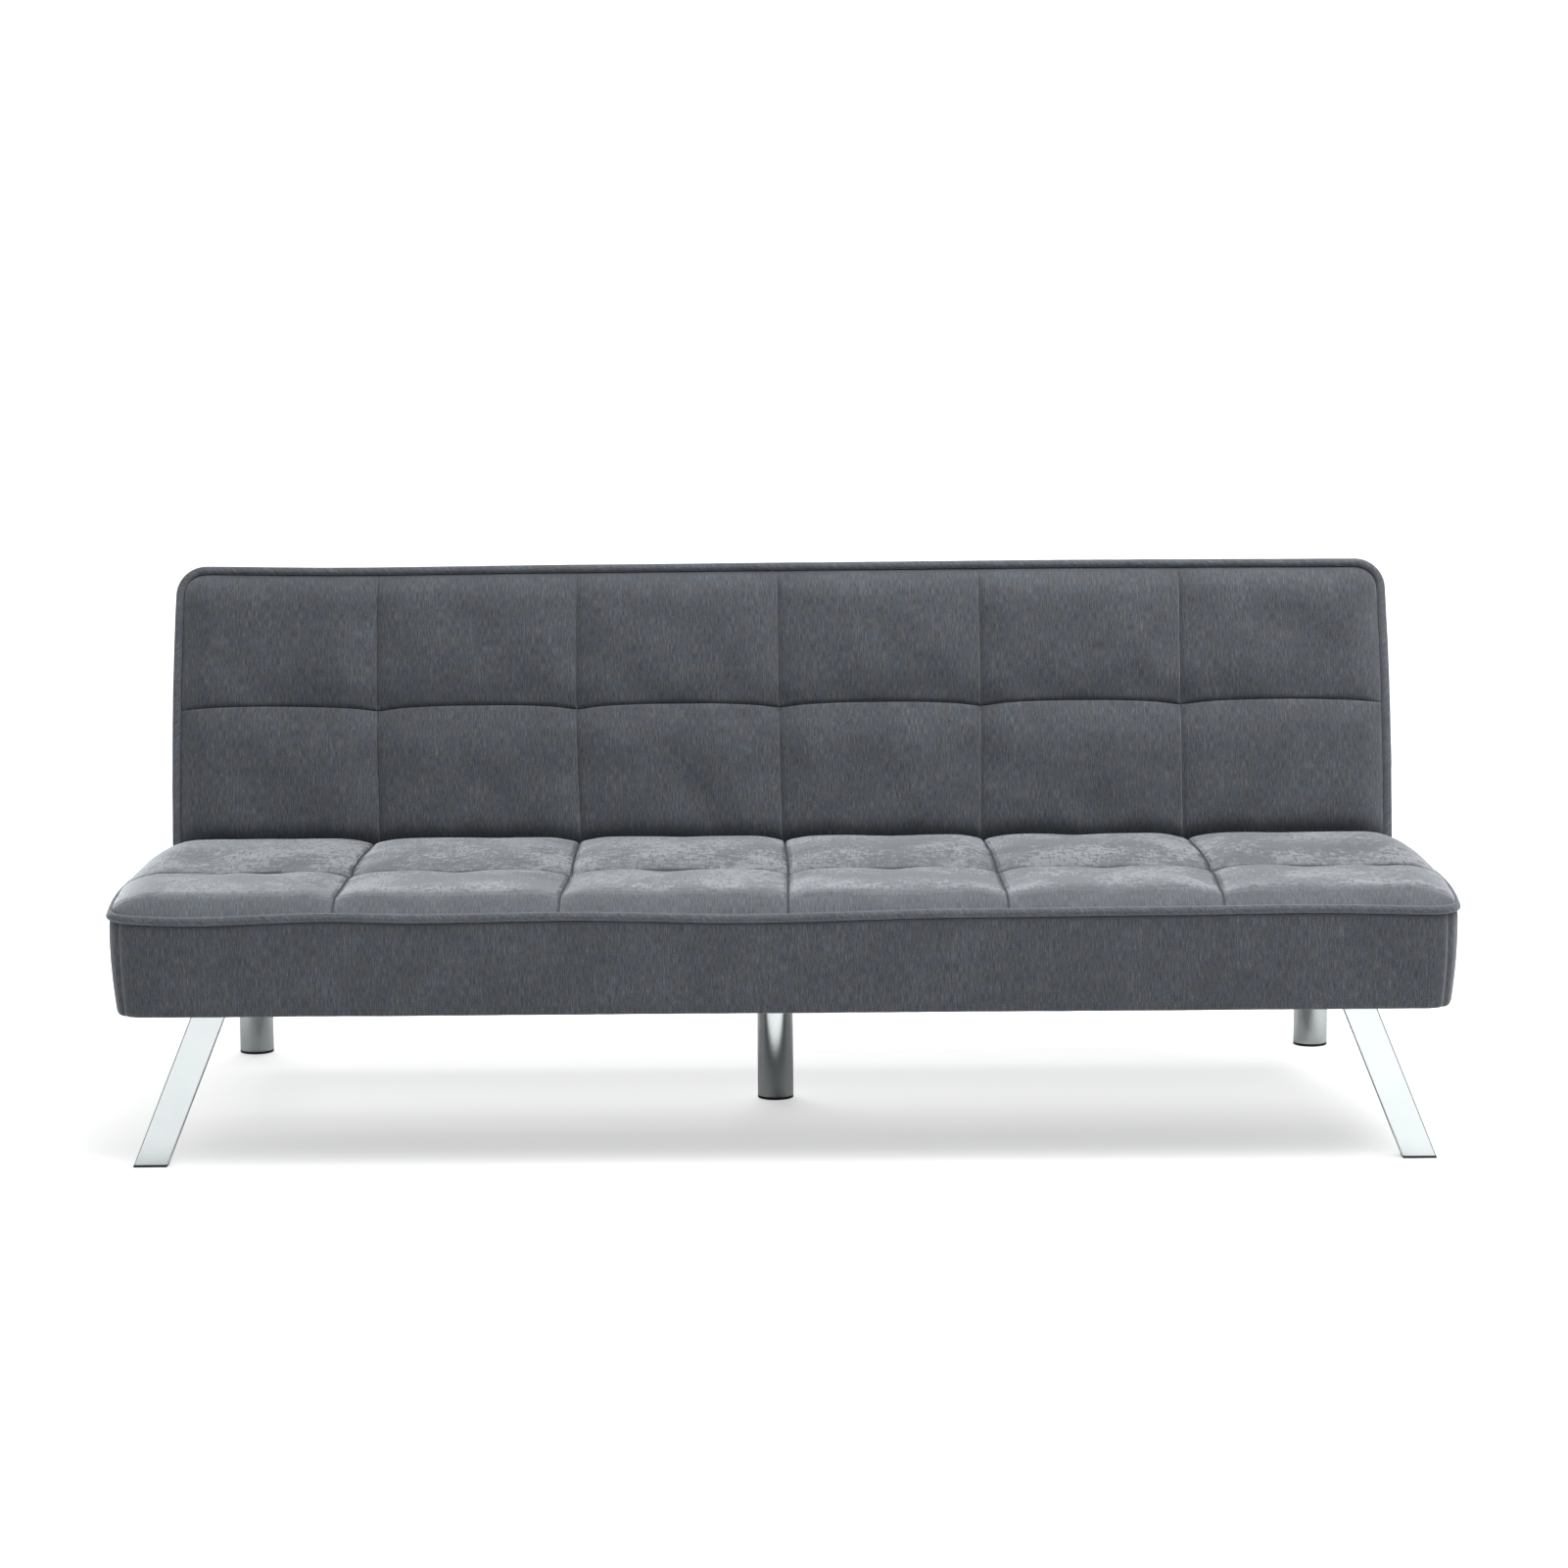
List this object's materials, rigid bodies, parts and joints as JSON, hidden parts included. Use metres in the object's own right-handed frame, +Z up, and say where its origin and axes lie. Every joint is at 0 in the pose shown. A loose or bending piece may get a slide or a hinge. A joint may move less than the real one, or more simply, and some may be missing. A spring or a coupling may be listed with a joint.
{
  "type": "futon sofa bed",
  "caption": "Armless click-clack sofa bed with tufted fabric seat and back, piped edges, splayed flat front legs, round rear legs and a reclining back.",
  "frame": {"origin": "on the floor, under the middle of the sofa's overall width and depth with the back upright", "axes": "+X to the sitter's left along the sofa's length, +Y from the front of the seat to the rear, +Z up"},
  "size_m": [1.68, 0.847, 0.7271],
  "materials": {
    "upholstery": "matte",
    "dust_cloth": "matte",
    "foam": "matte",
    "wadding": "matte",
    "felt": "matte",
    "pine": "satin",
    "black_steel": "satin",
    "chrome": "polished",
    "spring_steel": "satin",
    "zinc": "satin",
    "black_plastic": "satin",
    "rubber": "matte",
    "nylon": "satin",
    "label_cloth": "matte"
  },
  "bodies": {
    "base": {"base_side_rails": "black_steel", "base_front_tube": "black_steel", "base_middle_tube": "black_steel", "base_rear_tube": "black_steel", "bed_rest_pads": "rubber", "middle_leg": "chrome", "rear_legs": "chrome", "leg_studs": "zinc", "stud_nuts": "zinc", "round_foot_caps": "black_plastic", "front_legs": "chrome", "front_foot_caps": "black_plastic", "front_leg_plates": "black_steel", "front_leg_screws": "zinc", "rail_bolts": "zinc", "rail_spacers": "rubber", "seat_front_rail": "pine", "seat_rear_rail": "pine", "seat_side_rails": "pine", "seat_cross_rails": "pine", "seat_bearer_boards": "pine", "seat_corner_blocks": "pine", "seat_springs": "spring_steel", "seat_spring_clips": "zinc", "seat_spring_pad": "felt", "seat_foam": "foam", "seat_wadding": "wadding", "seat_cover": "upholstery", "seat_skirt": "upholstery", "seat_piping": "upholstery", "seat_dust_cover": "dust_cloth", "hinge_seat_arms": "black_steel", "hinge_seat_screws": "zinc", "pivot_bolts": "zinc", "pivot_nuts": "zinc", "pivot_washers": "nylon", "pawl_pins": "zinc", "pawl_springs": "spring_steel"},
    "backrest": {"back_bottom_rail": "pine", "back_top_rail": "pine", "back_side_rails": "pine", "back_cross_rails": "pine", "back_corner_blocks": "pine", "back_springs": "spring_steel", "back_spring_clips": "zinc", "back_spring_pad": "felt", "back_foam": "foam", "back_wadding": "wadding", "back_cover": "upholstery", "back_skirt": "upholstery", "back_piping": "upholstery", "back_rear_panel": "upholstery", "back_label": "label_cloth", "hinge_back_arms": "black_steel", "hinge_back_screws": "zinc", "hinge_packers": "pine"},
    "pawl_left": {"pawl_left": "zinc"},
    "pawl_right": {"pawl_right": "zinc"}
  },
  "joints": [
    {"name": "back_recline", "type": "hinge", "parent": "base", "child": "backrest", "pos_m": [0, 0.1005, 0.33], "axis": [-1, 0, 0], "range_deg": [-8, 74]},
    {"name": "pawl_left_pivot", "type": "hinge", "parent": "base", "child": "pawl_left", "pos_m": [0.7958, 0.0645, 0.318], "axis": [1, 0, 0], "range_deg": [-10, 9], "stiffness_Nm_per_rad": 0.2},
    {"name": "pawl_right_pivot", "type": "hinge", "parent": "base", "child": "pawl_right", "pos_m": [-0.7958, 0.0645, 0.318], "axis": [1, 0, 0], "range_deg": [-10, 9], "stiffness_Nm_per_rad": 0.2}
  ]
}
